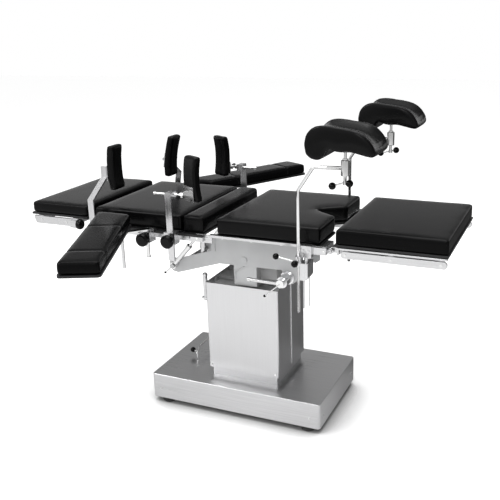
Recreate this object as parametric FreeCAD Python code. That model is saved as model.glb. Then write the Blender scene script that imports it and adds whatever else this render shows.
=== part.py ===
import FreeCAD
import Part
import math
import os

os.makedirs("parts", exist_ok=True)
V = FreeCAD.Vector

# Operating table, millimetres. +X to the foot end, -Y to the surgeon's near side, +Z up.
# The origin is on the floor under the middle of the base.

SHEET = 2.0
RUN = 0.05
GAP = 0.3

# Base and column
FOOT_H = 22.0
FOOT_R = 29.0
FOOT_BORE = 5.5
FOOT_STUD = 9.0
FOOT_X = 303.0
FOOT_Y = 186.0
BASE_L = 720.0
BASE_W = 440.0
BASE_TOP = 124.0
BASE_LIP = 24.0
TUBE_T = 3.0
COL_X0 = -137.0
COL_X1 = 166.0
COL_HALF = 140.0
SKIRT_Z0 = 158.0
SKIRT_Z1 = 519.0
PLINTH_IN = 10.0
PLINTH_Z1 = 470.0
LIFT_X = 15.0
RAM_R = 42.0
BARREL_R = 62.0
BARREL_BORE = 50.0
BARREL_Z1 = 430.0
HEAD_PLATE_Z = 500.0
PLATE_T = 14.0

# Tilt head
ROLL_Z = 560.0
ROLL_R = 14.0
PITCH_X = 28.0
PITCH_Z = 625.0
PITCH_R = 12.0
NECK_X0 = -18.0
NECK_X1 = 75.0
NECK_HALF = 123.5
SIDE_Y0 = 124.5
SIDE_Y1 = 129.5
ARM_END_X = -272.0
ARM_END_Z = 574.0
STRUT_Y = 142.0
STRUT_TOP_X = -165.0
STRUT_TOP_Z = 698.0
STRUT_LUG = 7.0
CRANK_X = 205.0
CRANK_Z = 578.0

# Table top
TOP_Z = 814.0
HALF_W = 250.0
BOARD_T = 8.0
DECK_Z = 714.0
MID_BOARD_Z = 744.0
MID_PAD_Z = MID_BOARD_Z + BOARD_T
HEAD_BOARD_Z = 762.0
HEAD_PAD_Z = HEAD_BOARD_Z + BOARD_T
LEG_BOARD_Z = 754.0
LEG_PAD_Z = LEG_BOARD_Z + BOARD_T
HEAD_X0, HEAD_X1 = -855.0, -585.0
BACK_X0, BACK_X1 = -550.0, -165.0
KID_X0, KID_X1 = -160.0, -75.0
SEAT_X0, SEAT_X1 = -25.0, 370.0
LEG_X0, LEG_X1 = 420.0, 800.0
NOTCH_X = 286.0
NOTCH_HALF = 140.0
PAD_R = 9.0
RAIL_Y0, RAIL_Y1 = 262.0, 272.0
RAIL_Z0, RAIL_Z1 = 727.0, 752.0
HINGE_Z = 732.0
BACK_HINGE_X = -117.5
LEG_HINGE_X = 402.0
HEAD_HINGE_X = -568.0
HEAD_HINGE_Z = 736.0
KID_ROD_X = -153.0
KID_ROD_Y = 110.0
KID_ROD_R = 6.0

# Arm boards
ARM_W = 137.0
ARM_L = 620.0
ARM_BOARD_Z = 764.0
ARM_PAD_Z = ARM_BOARD_Z + BOARD_T
ARM_TOP = 808.0
POST_X = -290.0
POST_Y = 289.0
POST_R = 7.0
LINK_Z = 755.0
PIN_X = -354.0
PIN_Y = 360.0
PIN_R = 6.0
ARM_IN_Y = 286.0
ARM_ANGLE = {"near": 23.6, "far": 29.0}
ARM_EDGE_X = {"near": -507.0, "far": -472.0}

# Accessories
KNOB_R = 25.0
KNOB_Z = 729.0
SHOULDER_X = {"near": -531.0, "far": -495.0}
SHOULDER_TILT = {"near": 0.0, "far": 9.0}
SWING_Z = 738.0
REST_H = 168.0
REST_W = 80.0
REST_T = 32.0
REST_BOW = 9.0
BODY_X = {"near": -190.0, "far": -160.0}
BAR_Z0, BAR_Z1 = 649.0, 880.0
SWIVEL_Y = 262.0
SWIVEL_Z = 893.0
SWIVEL_R = 5.0
HOLD_X = 309.0
HOLD_Y = 290.0
HOLD_R = 6.0
HOLD_Z0 = 442.0
STEM_X = 470.0
STEM_R = 5.0
SLEEVE_R = 14.0
SLEEVE_Z0, SLEEVE_Z1 = 1009.0, 1060.0
SADDLE_Z = 1096.0


def box(x0, x1, y0, y1, z0, z1):
    return Part.makeBox(x1 - x0, y1 - y0, z1 - z0, V(x0, y0, z0))


def side_box(s, x0, x1, a0, a1, z0, z1):
    y0, y1 = sorted((s * a0, s * a1))
    return box(x0, x1, y0, y1, z0, z1)


def rod(a, b, r):
    a = V(*a)
    b = V(*b)
    return Part.makeCylinder(r, (b - a).Length, a, b - a)


def ball_lever(a, b, r, end_r):
    along = (V(*b) - V(*a)).normalize()
    return [rod(a, b, r), Part.makeSphere(end_r, V(*b), along)]


def fuse(shapes):
    out = shapes[0].multiFuse(list(shapes[1:]))
    return out.removeSplitter()


def prism(points, axis, lo, hi):
    rows = {"y": lambda u, v: V(u, lo, v), "z": lambda u, v: V(u, v, lo)}[axis]
    wire = Part.makePolygon([rows(*p) for p in points] + [rows(*points[0])])
    step = V(0, hi - lo, 0) if axis == "y" else V(0, 0, hi - lo)
    return Part.Face(wire).extrude(step)


def round_upright(shape, r):
    edges = [e for e in shape.Edges if abs(e.tangentAt(e.FirstParameter).z) > 0.99]
    return shape.makeFillet(r, edges)


def round_along_y(shape, r):
    edges = [e for e in shape.Edges if abs(e.tangentAt(e.FirstParameter).y) > 0.99]
    return shape.makeFillet(r, edges)


def tube_box(x0, x1, y0, y1, z0, z1, along):
    outer = box(x0, x1, y0, y1, z0, z1)
    t = TUBE_T
    if along == "x":
        return outer.cut(box(x0, x1, y0 + t, y1 - t, z0 + t, z1 - t))
    return outer.cut(box(x0 + t, x1 - t, y0, y1, z0 + t, z1 - t))


def bent_rod(points, bend, r):
    pts = [V(*p) for p in points]
    edges = []
    last = pts[0]
    for before, corner, after in zip(pts, pts[1:], pts[2:]):
        a = (before - corner).normalize()
        b = (after - corner).normalize()
        half = a.getAngle(b) / 2
        start = corner + a * (bend / math.tan(half))
        end = corner + b * (bend / math.tan(half))
        inward = (a + b).normalize()
        centre = corner + inward * (bend / math.sin(half))
        edges.append(Part.LineSegment(last, start).toShape())
        edges.append(Part.Arc(start, centre - inward * bend, end).toShape())
        last = end
    edges.append(Part.LineSegment(last, pts[-1]).toShape())
    ring = Part.Wire(Part.makeCircle(r, pts[0], pts[1] - pts[0]))
    return Part.Wire(edges).makePipeShell([ring], True, True)


def turned(profile, at, axis=V(0, 0, 1)):
    wire = Part.makePolygon([V(r, 0, h) for r, h in profile] + [V(profile[0][0], 0, profile[0][1])])
    solid = Part.Face(wire).revolve(V(0, 0, 0), V(0, 0, 1), 360)
    solid.Placement = FreeCAD.Placement(V(*at), FreeCAD.Rotation(V(0, 0, 1), axis))
    return solid


def mirrored(shape, side):
    return shape if side == "near" else shape.mirror(V(0, 0, 0), V(0, 1, 0))


# Base

def base_cover():
    outer = box(-BASE_L / 2, BASE_L / 2, -BASE_W / 2, BASE_W / 2, FOOT_H, BASE_TOP)
    outer = round_upright(outer, 12)
    top = [e for e in outer.Edges if e.BoundBox.ZMin > BASE_TOP - 1]
    outer = outer.makeFillet(4, top)
    lx = BASE_L / 2 - SHEET
    ly = BASE_W / 2 - SHEET
    inner = round_upright(box(-lx, lx, -ly, ly, FOOT_H + SHEET, BASE_TOP - SHEET), 10)
    rim = box(-lx + BASE_LIP, lx - BASE_LIP, -ly + BASE_LIP, ly - BASE_LIP, 0, FOOT_H + SHEET)
    hole = box(LIFT_X - 105, LIFT_X + 105, -105, 105, BASE_TOP - 10, BASE_TOP + 10)
    shell = outer.cut(inner).cut(rim).cut(hole)
    block = box(-262, -238, 118, 148, BASE_TOP - 1, 184)
    bore = rod((-250, 100, 172), (-250, 160, 172), 3 + RUN)
    for x in (-FOOT_X, FOOT_X):
        for y in (-FOOT_Y, FOOT_Y):
            shell = shell.cut(rod((x, y, 0), (x, y, FOOT_H + 5), FOOT_STUD + RUN))
    return fuse([shell, plinth(), block.cut(bore)])


def plinth():
    x0, x1 = COL_X0 + PLINTH_IN, COL_X1 - PLINTH_IN
    h = COL_HALF - PLINTH_IN
    outer = round_upright(box(x0, x1, -h, h, BASE_TOP - 1, PLINTH_Z1), 6)
    t = SHEET
    return outer.cut(round_upright(box(x0 + t, x1 - t, -h + t, h - t, 0, 900), 4))


def base_frame():
    z0 = FOOT_H + SHEET
    z1 = z0 + 40
    parts = []
    for s in (-1, 1):
        y0, y1 = sorted((s * 150.0, s * 214.0))
        parts.append(tube_box(-345, 345, y0, y1, z0, z1, "x"))
        for x in (-300, 300):
            parts.append(side_box(s, x - 15, x + 15, 165, 195, z1, BASE_TOP - SHEET))
    for x in (-260, 260):
        parts.append(box(x - 25, x + 25, -150, 150, z0, z1))
    plate_z = z1 + 12
    parts.append(box(LIFT_X - 130, LIFT_X + 130, -190, 190, z1, plate_z))
    barrel = turned([(0, plate_z), (95, plate_z), (95, plate_z + 14), (BARREL_R, plate_z + 14),
                     (BARREL_R, BARREL_Z1), (RAM_R + RUN, BARREL_Z1), (RAM_R + RUN, BARREL_Z1 - 30),
                     (BARREL_BORE, BARREL_Z1 - 30), (BARREL_BORE, plate_z + 20), (0, plate_z + 20)],
                    (LIFT_X, 0, 0))
    frame = fuse(parts + [barrel])
    for k in range(6):
        a = math.radians(60 * k)
        p = (LIFT_X + 80 * math.cos(a), 80 * math.sin(a))
        frame = frame.cut(rod((p[0], p[1], z1 - 5), (p[0], p[1], plate_z + 30), 6.5))
    for x in (-FOOT_X, FOOT_X):
        for y in (-FOOT_Y, FOOT_Y):
            frame = frame.cut(rod((x, y, z0 - 1), (x, y, z0 + TUBE_T + 1), FOOT_BORE + 1))
    return frame


def base_feet():
    feet = []
    top = FOOT_H + SHEET
    for x in (-FOOT_X, FOOT_X):
        for y in (-FOOT_Y, FOOT_Y):
            feet.append(turned([(FOOT_BORE, 0), (FOOT_R - 3, 0), (FOOT_R, 3), (FOOT_R, 11),
                                (FOOT_R - 5, 18), (12, FOOT_H), (FOOT_STUD, FOOT_H),
                                (FOOT_STUD, top), (FOOT_BORE, top)], (x, y, 0)))
    return Part.makeCompound(feet)


def release_lever():
    shaft = bent_rod([(-250, 146, 172), (-250, -8, 172), (-250, -36, 150), (-246, -38, 129)], 12, 3)
    arm = ball_lever((-249.5, -31, 154), (-277, -21, 154), 2.5, 11)
    return fuse([shaft] + arm)


# Lift

def lift_head():
    ram = rod((LIFT_X, 0, 130), (LIFT_X, 0, HEAD_PLATE_Z), RAM_R)
    piston = rod((LIFT_X, 0, 130), (LIFT_X, 0, 150), BARREL_BORE - RUN)
    z1 = HEAD_PLATE_Z + PLATE_T
    plate = box(COL_X0 + SHEET, COL_X1 - SHEET, -35, 35, HEAD_PLATE_Z, z1)
    collar = rod((LIFT_X, 0, HEAD_PLATE_Z - 16), (LIFT_X, 0, HEAD_PLATE_Z), RAM_R + 20)
    parts = [ram, piston, plate, collar]
    for x0, x1 in ((COL_X0 + SHEET, COL_X0 + SHEET + 6), (COL_X1 - SHEET - 4, COL_X1 - SHEET)):
        parts.append(box(x0, x1, -60, 60, z1 - 50, z1))
    for x0, x1 in ((-62, -44), (146, 160)):
        parts.append(box(x0, x1, -34, 34, z1, ROLL_Z))
        parts.append(rod((x0, 0, ROLL_Z), (x1, 0, ROLL_Z), 34))
    parts.append(rod((-66, 0, ROLL_Z), (160, 0, ROLL_Z), ROLL_R))
    return fuse(parts)


def column_skirt():
    t = SHEET
    outer = round_upright(box(COL_X0, COL_X1, -COL_HALF, COL_HALF, SKIRT_Z0, SKIRT_Z1), 8)
    inner = round_upright(box(COL_X0 + t, COL_X1 - t, -COL_HALF + t, COL_HALF - t, 0, 900), 6)
    skirt = outer.cut(inner)
    seams = []
    for x0, x1 in ((COL_X1 - 1, COL_X1 + 2.5), (COL_X0 - 2.5, COL_X0 + 1)):
        seams.append(box(x0, x1, -5, 5, SKIRT_Z0 + 3, SKIRT_Z1 - 3))
    stop = box(COL_X0 - 30, COL_X0 + 1, -122, -98, 440, 446)
    stop_tube = rod((KID_ROD_X, -KID_ROD_Y, 432), (KID_ROD_X, -KID_ROD_Y, 531), 9)
    buffer = turned([(0, 530), (9, 530), (10, 533), (10, 541), (7, 545), (0, 545)],
                    (KID_ROD_X, -KID_ROD_Y, 0))
    return fuse([skirt] + seams + [stop, stop_tube, buffer])


# Tilt head

def roll_saddle():
    block = box(-40, 142, -84, 84, ROLL_Z - 20, 612)
    neck = box(NECK_X0, NECK_X1, -84, 84, 600, 650)
    parts = [block, neck]
    for s in (-1, 1):
        parts.append(side_box(s, NECK_X0, NECK_X1, 84, NECK_HALF, 520, 650))
        parts.append(rod((PITCH_X, s * 100, PITCH_Z), (PITCH_X, s * (SIDE_Y1 + 4), PITCH_Z), PITCH_R))
    saddle = fuse(parts)
    saddle = saddle.cut(rod((-60, 0, ROLL_Z), (160, 0, ROLL_Z), ROLL_R + RUN))
    for s in (-1, 1):
        saddle = saddle.cut(side_box(s, -28, 130, 26, 74, ROLL_Z - 30, 598))
    lock = bent_rod([(25, -125.5, 596), (-13, -125.5, 572), (-13, -125.5, 545)], 6, 2.5)
    return fuse([saddle, lock])


def side_plate(s):
    outline = [(-262, 541), (-77, 599), (180, 603), (193, 575), (200, 560), (222, 553), (240, 566),
               (240, DECK_Z), (-88, DECK_Z), (-109, 700), (-109, 647), (-256, 601), (-283, 600),
               (-297, 586), (-299, 562), (-284, 546)]
    y0, y1 = sorted((s * SIDE_Y0, s * SIDE_Y1))
    plate = prism(outline, "y", y0, y1)
    return plate.cut(rod((PITCH_X, -200, PITCH_Z), (PITCH_X, 200, PITCH_Z), PITCH_R + RUN))


def side_frame():
    parts = []
    for s in (-1, 1):
        parts.append(side_plate(s))
        pin = rod((ARM_END_X, s * SIDE_Y0, ARM_END_Z), (ARM_END_X, s * 155, ARM_END_Z), 6)
        head = rod((ARM_END_X, s * 155, ARM_END_Z), (ARM_END_X, s * 158, ARM_END_Z), 9)
        post = side_box(s, -109, -92, SIDE_Y1, SIDE_Y1 + 3, 648, 699)
        parts += [pin, head, post]
    parts.append(box(-80, 240, -SIDE_Y0, SIDE_Y0, DECK_Z - 8, DECK_Z))
    parts.append(rod((-268, -SIDE_Y0, 566), (-268, SIDE_Y0, 566), 9))
    y = -SIDE_Y1
    flange = rod((CRANK_X, y, CRANK_Z), (CRANK_X, y - 7, CRANK_Z), 26)
    house = rod((CRANK_X, y, CRANK_Z), (CRANK_X, y - 62, CRANK_Z), 21)
    hub = fuse([flange, house])
    hub = hub.cut(rod((CRANK_X, y - 12, CRANK_Z), (CRANK_X, y - 80, CRANK_Z), 8 + RUN))
    return fuse(parts + [hub])


def crank_handle():
    y = -SIDE_Y1 - 72
    shaft = rod((CRANK_X, -SIDE_Y1 - 14, CRANK_Z), (CRANK_X, y, CRANK_Z), 8)
    hub = rod((CRANK_X, -SIDE_Y1 - 62 - GAP, CRANK_Z), (CRANK_X, y - 8, CRANK_Z), 15)
    arm = rod((CRANK_X, y, CRANK_Z - 1), (CRANK_X - 128, y, CRANK_Z + 1), 7)
    collar = rod((CRANK_X - 118, y, CRANK_Z + 1), (CRANK_X - 130, y, CRANK_Z + 1), 8.5)
    lever = ball_lever((CRANK_X, y - 6, CRANK_Z), (CRANK_X - 60, y - 10, CRANK_Z - 52), 2.5, 5)
    return fuse([shaft, hub, arm, collar] + lever)


# Table top

def notch_curve():
    pts = []
    for k in range(-10, 11):
        t = k / 10.0
        x = NOTCH_X + (SEAT_X1 - NOTCH_X) * t * t
        pts.append((x, NOTCH_HALF * math.copysign(abs(t) ** 0.9, t)))
    return pts


def notched_plate(z0, z1, inset):
    left = SEAT_X0 + inset
    right = SEAT_X1 - inset
    w = HALF_W - inset
    arc = [V(x + inset, y, z0) for x, y in notch_curve()]
    arc[0] = V(right, arc[0].y - inset, z0)
    arc[-1] = V(right, arc[-1].y + inset, z0)
    curve = Part.BSplineCurve()
    curve.interpolate(arc)
    walk = [V(right, w, z0), V(left, w, z0), V(left, -w, z0), V(right, -w, z0)]
    edges = [curve.toShape(), Part.LineSegment(arc[-1], walk[0]).toShape()]
    for a, b in zip(walk, walk[1:]):
        edges.append(Part.LineSegment(a, b).toShape())
    edges.append(Part.LineSegment(walk[-1], arc[0]).toShape())
    return Part.Face(Part.Wire(edges)).extrude(V(0, 0, z1 - z0))


def pad(x0, x1, z0):
    return cushion(box(x0, x1, -HALF_W, HALF_W, z0, TOP_Z), PAD_R)


def cushion(block, r):
    z0 = block.BoundBox.ZMin
    keep = [e for e in block.Edges if e.BoundBox.ZMax > z0 + 0.01]
    return block.makeFillet(r, keep)


def seat_pad():
    return cushion(notched_plate(MID_PAD_Z, TOP_Z, 0), PAD_R)


def side_rail(s, x0, x1):
    return side_box(s, x0, x1, RAIL_Y0, RAIL_Y1, RAIL_Z0, RAIL_Z1)


def seat_frame():
    parts = [notched_plate(MID_BOARD_Z, MID_PAD_Z, 3)]
    for s in (-1, 1):
        y0, y1 = sorted((s * 200.0, s * 240.0))
        parts.append(tube_box(-20, 388, y0, y1, DECK_Z, MID_BOARD_Z, "x"))
        parts.append(side_rail(s, 305, 400))
        for x in (305, 380):
            parts.append(side_box(s, x, x + 20, 240, RAIL_Y0, 729, 742))
        arm = side_box(s, BACK_HINGE_X, 10, 252, 260, HINGE_Z - 10, HINGE_Z + 11)
        end = rod((BACK_HINGE_X, s * 252, HINGE_Z), (BACK_HINGE_X, s * 260, HINGE_Z), 11)
        hole = rod((BACK_HINGE_X, s * 240, HINGE_Z), (BACK_HINGE_X, s * 270, HINGE_Z), 7 + RUN)
        parts.append(fuse([arm, end]).cut(hole))
        parts.append(side_box(s, -15, 10, 240, 252, HINGE_Z - 10, HINGE_Z + 11))
        lug = side_box(s, 380, LEG_HINGE_X, 226, 236, HINGE_Z - 11, HINGE_Z + 11)
        eye = rod((LEG_HINGE_X, s * 226, HINGE_Z), (LEG_HINGE_X, s * 236, HINGE_Z), 11)
        bore = rod((LEG_HINGE_X, s * 200, HINGE_Z), (LEG_HINGE_X, s * 250, HINGE_Z), 6 + RUN)
        parts.append(fuse([lug, eye]).cut(bore))
    for x in (-20, 240):
        parts.append(tube_box(x, x + 40, -200, 200, DECK_Z, MID_BOARD_Z, "y"))
    return fuse(parts)


def back_frame():
    parts = [box(BACK_X0, BACK_X1, -HALF_W, HALF_W, MID_BOARD_Z, MID_PAD_Z)]
    for s in (-1, 1):
        y0, y1 = sorted((s * 190.0, s * 225.0))
        parts.append(tube_box(-545, -105, y0, y1, DECK_Z, MID_BOARD_Z, "x"))
        parts.append(side_rail(s, BACK_X0, -68))
        for x in (-545, -440, -250, -160):
            parts.append(side_box(s, x, x + 20, 225, RAIL_Y0, 729, 743))
        parts.append(rod((BACK_HINGE_X, s * 224, HINGE_Z), (BACK_HINGE_X, s * 261, HINGE_Z), 7))
        sleeve = rod((KID_ROD_X, s * KID_ROD_Y, 620), (KID_ROD_X, s * KID_ROD_Y, MID_BOARD_Z), 12)
        parts.append(sleeve)
        for y in (STRUT_Y - STRUT_LUG - GAP - 4, STRUT_Y + STRUT_LUG + GAP):
            ear = side_box(s, STRUT_TOP_X - 10, STRUT_TOP_X + 14, y, y + 4, STRUT_TOP_Z, DECK_Z + 1)
            end = rod((STRUT_TOP_X, s * y, STRUT_TOP_Z), (STRUT_TOP_X, s * (y + 4), STRUT_TOP_Z), 10)
            parts += [ear, end]
        y = STRUT_Y + STRUT_LUG + GAP + 4
        parts.append(rod((STRUT_TOP_X, s * (y - 1), STRUT_TOP_Z), (STRUT_TOP_X, s * (y + 3), STRUT_TOP_Z), 6))
        lug = side_box(s, HEAD_HINGE_X, -540, 148, 156, HEAD_HINGE_Z - 8, HEAD_HINGE_Z + 8)
        eye = rod((HEAD_HINGE_X, s * 148, HEAD_HINGE_Z), (HEAD_HINGE_X, s * 156, HEAD_HINGE_Z), 8)
        parts += [lug, eye]
    for x, w in ((-545, 30), (-290, 36), (-170, 45)):
        parts.append(box(x, x + w, -190, 190, DECK_Z, MID_BOARD_Z))
    frame = fuse(parts)
    for s in (-1, 1):
        x, y = KID_ROD_X, s * KID_ROD_Y
        frame = frame.cut(rod((x, y, 500), (x, y, 800), KID_ROD_R + RUN))
        z = HEAD_HINGE_Z
        frame = frame.cut(rod((HEAD_HINGE_X, s * 140, z), (HEAD_HINGE_X, s * 160, z), 5 + RUN))
    socket = rod((-120, -RAIL_Y1 - 1, 740), (-120, -RAIL_Y1 + 12, 740), 3.5)
    return frame.cut(socket)


def kidney_bridge():
    board = box(KID_X0, KID_X1, -HALF_W, HALF_W, MID_BOARD_Z + GAP, MID_PAD_Z)
    rods = []
    for s in (-1, 1):
        a = (KID_ROD_X, s * KID_ROD_Y, 605)
        rods.append(rod(a, (a[0], a[1], MID_BOARD_Z + 2), KID_ROD_R))
    return fuse([board] + rods)


def head_frame():
    z = HEAD_BOARD_Z
    parts = [box(HEAD_X0, HEAD_X1, -HALF_W, HALF_W, z, HEAD_PAD_Z)]
    for s in (-1, 1):
        y0, y1 = sorted((s * 252.0, s * 262.0))
        outline = [(-836, 752), (-828, 730), (-626, 730), (-626, 760), (-836, 760)]
        parts.append(prism(outline, "y", y0, y1))
        bar = side_box(s, -830, HEAD_HINGE_X, 120, 136, HEAD_HINGE_Z - 7, z)
        cut = side_box(s, -584, -500, 100, 150, HEAD_HINGE_Z + 8, z + 1)
        eye = rod((HEAD_HINGE_X, s * 120, HEAD_HINGE_Z), (HEAD_HINGE_X, s * 136, HEAD_HINGE_Z), 8)
        pin = rod((HEAD_HINGE_X, s * 130, HEAD_HINGE_Z), (HEAD_HINGE_X, s * 157, HEAD_HINGE_Z), 5)
        parts += [bar.cut(cut), eye, pin]
    for x in (-820, -652):
        parts.append(box(x, x + 26, -256, 256, 740, z))
    boss = box(-655, -626, -272, -252, 728, 757)
    frame = fuse(parts + [boss])
    return frame.cut(rod((-660, -262, 742), (-600, -262, 742), 5 + RUN))


def grip_knob(at, axis, stem):
    r = KNOB_R
    cap = turned([(0, 0), (8, 0), (10, 4), (r - 3, 4), (r, 7), (r, 17), (r - 4, 22), (r - 9, 24), (0, 24)],
                 at, axis)
    for k in range(8):
        a = math.radians(45 * k)
        side = V(math.cos(a), math.sin(a), 0) * (r + 3.5)
        groove = Part.makeCylinder(6, 30, side + V(0, 0, -2), V(0, 0, 1))
        groove.Placement = cap.Placement.multiply(groove.Placement)
        cap = cap.cut(groove)
    shaft = turned([(0, -stem), (5, -stem), (5, 1), (0, 1)], at, axis)
    return fuse([cap, shaft])


def head_knob():
    knob = turned([(0, 0), (12, 0), (18, 3), (20, 8), (20, 16), (17, 21), (0, 22)],
                  (-626 + GAP, -262, 742), V(1, 0, 0))
    stem = rod((-650, -262, 742), (-620, -262, 742), 5)
    return fuse([knob, stem])


def leg_frame():
    z = LEG_BOARD_Z
    parts = [box(LEG_X0, LEG_X1, -HALF_W, HALF_W, z, LEG_PAD_Z)]
    for s in (-1, 1):
        y0, y1 = sorted((s * 246.0, s * 256.0))
        rail = round_along_y(box(432, 797, y0, y1, 718, 753), 15)
        parts.append(rail)
        parts.append(box(432, 797, y0, y1, 740, z))
        y0, y1 = sorted((s * 205.0, s * 235.0))
        parts.append(tube_box(440, 780, y0, y1, 724, z, "x"))
        parts.append(side_box(s, 436, 460, 235, 246, 724, z))
        arm = side_box(s, LEG_HINGE_X, 442, 212, 222, HINGE_Z - 8, HINGE_Z + 10)
        eye = rod((LEG_HINGE_X, s * 212, HINGE_Z), (LEG_HINGE_X, s * 222, HINGE_Z), 10)
        pin = rod((LEG_HINGE_X, s * 216, HINGE_Z), (LEG_HINGE_X, s * 240, HINGE_Z), 6)
        parts += [arm, eye, pin]
    for x in (440, 740):
        parts.append(box(x, x + 30, -246, 246, 726, z))
    return fuse(parts)


# Back struts

def strut_axis(along):
    foot = V(ARM_END_X, -STRUT_Y, ARM_END_Z)
    head = V(STRUT_TOP_X, -STRUT_Y, STRUT_TOP_Z)
    return foot + (head - foot).normalize() * along


def strut_barrel(side):
    y = -STRUT_Y
    x, z = ARM_END_X, ARM_END_Z
    eye = rod((x, y - 9, z), (x, y + 9, z), 13)
    tube = rod(strut_axis(0), strut_axis(112), 9.5)
    gland = rod(strut_axis(104), strut_axis(116), 11)
    lever = ball_lever((x, y - 6, z), (x - 37, y - 7, z - 32), 3, 5)
    barrel = fuse([eye, tube, gland] + lever)
    barrel = barrel.cut(rod((x, y - 20, z), (x, y + 20, z), 6 + RUN))
    barrel = barrel.cut(rod(strut_axis(15), strut_axis(200), 5 + RUN))
    return mirrored(barrel, side)


def strut_rod(side):
    y = -STRUT_Y
    x, z = STRUT_TOP_X, STRUT_TOP_Z
    head = V(x, y, z)
    stem = rod(strut_axis(28), head, 5)
    eye = rod((x, y - STRUT_LUG, z), (x, y + STRUT_LUG, z), 8)
    return mirrored(fuse([stem, eye]), side)


# Arm boards

def rail_jaw(x, w, depth, z0):
    front = RAIL_Y1 + GAP
    outer = box(x - w / 2, x + w / 2, -front - depth, -RAIL_Y0 + 6, z0, RAIL_Z1 + 6)
    slot = box(x - w, x + w, -front, -RAIL_Y0 + GAP, RAIL_Z0 - GAP, RAIL_Z1 + GAP)
    mouth = box(x - w, x + w, -RAIL_Y0 - 1, 0, z0 - 1, RAIL_Z1 - 8)
    return outer.cut(slot).cut(mouth)


def arm_clamp(side):
    jaw = rail_jaw(POST_X, 40, 33, 714)
    low = box(POST_X - 30, POST_X + 30, -360, -RAIL_Y1 - GAP, RAIL_Z1 + 1, 800)
    jaw = jaw.cut(low)
    jaw = jaw.cut(rod((POST_X, -POST_Y, 600), (POST_X, -POST_Y, 800), POST_R + RUN))
    jaw = jaw.cut(rod((POST_X, -POST_Y, KNOB_Z), (POST_X, -340, KNOB_Z), 5 + RUN))
    return mirrored(jaw, side)


def arm_knob(side):
    knob = grip_knob((POST_X, -313, KNOB_Z), V(0, -1, 0), 313 - POST_Y - POST_R - 1)
    return mirrored(knob, side)


def arm_link(side):
    post = rod((POST_X, -POST_Y, 652), (POST_X, -POST_Y, LINK_Z + 7), POST_R)
    foot = rod((POST_X, -POST_Y, 652), (POST_X, -POST_Y, 656), POST_R + 1.5)
    a = V(POST_X, -POST_Y, LINK_Z)
    b = V(PIN_X, -PIN_Y, LINK_Z)
    side_step = (b - a).cross(V(0, 0, 1)).normalize() * 13
    pts = [a + side_step, b + side_step, b - side_step, a - side_step]
    web = Part.Face(Part.makePolygon(pts + [pts[0]])).extrude(V(0, 0, 7))
    ends = [Part.makeCylinder(13, 7, a), Part.makeCylinder(13, 7, b)]
    link = fuse([post, foot, web] + ends)
    link = link.cut(rod((PIN_X, -PIN_Y, 700), (PIN_X, -PIN_Y, 800), PIN_R + RUN))
    return mirrored(link, side)


def arm_outline(side):
    a = math.radians(ARM_ANGLE[side])
    u = V(math.sin(a), -math.cos(a), 0)
    n = V(math.cos(a), math.sin(a), 0)
    near_head = V(ARM_EDGE_X[side], -ARM_IN_Y, 0)
    near_foot = near_head + V(ARM_W / math.cos(a), 0, 0)
    far_head = near_head + u * ARM_L
    far_foot = far_head + n * ARM_W
    return [near_head, near_foot, far_foot, far_head]


def arm_slab(side, z0, z1, r):
    pts = [p + V(0, 0, z0) for p in arm_outline(side)]
    slab = Part.Face(Part.makePolygon(pts + [pts[0]])).extrude(V(0, 0, z1 - z0))
    return round_upright(slab, r)


def arm_board(side):
    slab = arm_slab(side, ARM_BOARD_Z, ARM_PAD_Z, 14)
    pin = rod((PIN_X, -PIN_Y, 625), (PIN_X, -PIN_Y, ARM_BOARD_Z + 2), PIN_R)
    washer = rod((PIN_X, -PIN_Y, LINK_Z + 7 + GAP), (PIN_X, -PIN_Y, ARM_BOARD_Z), 14)
    nut = rod((PIN_X, -PIN_Y, LINK_Z - 12), (PIN_X, -PIN_Y, LINK_Z - GAP), 10)
    return mirrored(fuse([slab, pin, washer, nut]), side)


def arm_pad(side):
    slab = arm_slab(side, ARM_PAD_Z, ARM_TOP, 14)
    top = [e for e in slab.Edges if e.BoundBox.ZMin > ARM_TOP - 0.1]
    return mirrored(slab.makeFillet(PAD_R, top), side)


# Rests with a bowed back

def rest_arc(z, bow, h):
    t = 2 * z / h - 1
    return bow * (1 - t * t)


def bowed_block(w, t, h, bow, back, r):
    zs = [h * k / 8.0 for k in range(9)]
    front = [V(rest_arc(z, -bow, h) + back, -w / 2, z) for z in zs]
    rear = [V(rest_arc(z, -bow, h) + back + t, -w / 2, z) for z in zs]
    f = Part.BSplineCurve()
    f.interpolate(front)
    g = Part.BSplineCurve()
    g.interpolate(rear)
    edges = [f.toShape(), Part.LineSegment(front[-1], rear[-1]).toShape(), g.toShape(),
             Part.LineSegment(rear[0], front[0]).toShape()]
    block = Part.Face(Part.Wire(edges)).extrude(V(0, w, 0))
    return block.makeFillet(r, block.Edges) if r else block


def shoulder_clamp(side):
    x = SHOULDER_X[side]
    jaw = rail_jaw(x, 30, 12, 716)
    bolt = rod((x, -RAIL_Y1 - 4, SWING_Z), (x, -300, SWING_Z), 5)
    cap = rod((x, -292 - GAP, SWING_Z), (x, -301, SWING_Z), 12)
    return mirrored(fuse([jaw, bolt, cap]), side)


def swing(shape, side):
    shape.rotate(V(SHOULDER_X[side], 0, SWING_Z), V(0, 1, 0), SHOULDER_TILT[side])
    return shape


def shoulder_bracket(side):
    x = SHOULDER_X[side]
    pts = [(-286, 722), (-286, 850), (-186, 918), (-186, 962), (-192, 962), (-192, 921.5),
           (-292, 853.5), (-292, 722)]
    wire = Part.makePolygon([V(x - 12.5, y, z) for y, z in pts] + [V(x - 12.5, *pts[0])])
    bar = Part.Face(wire).extrude(V(25, 0, 0))
    bar = bar.cut(rod((x, -300, SWING_Z), (x, -280, SWING_Z), 5 + RUN))
    plate = box(x + 12.5, x + 15.5, -190, -128, 905, 965)
    gusset = box(x - 2, x + 12.5, -192, -140, 930, 940)
    return mirrored(swing(fuse([bar, plate, gusset]), side), side)


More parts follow.
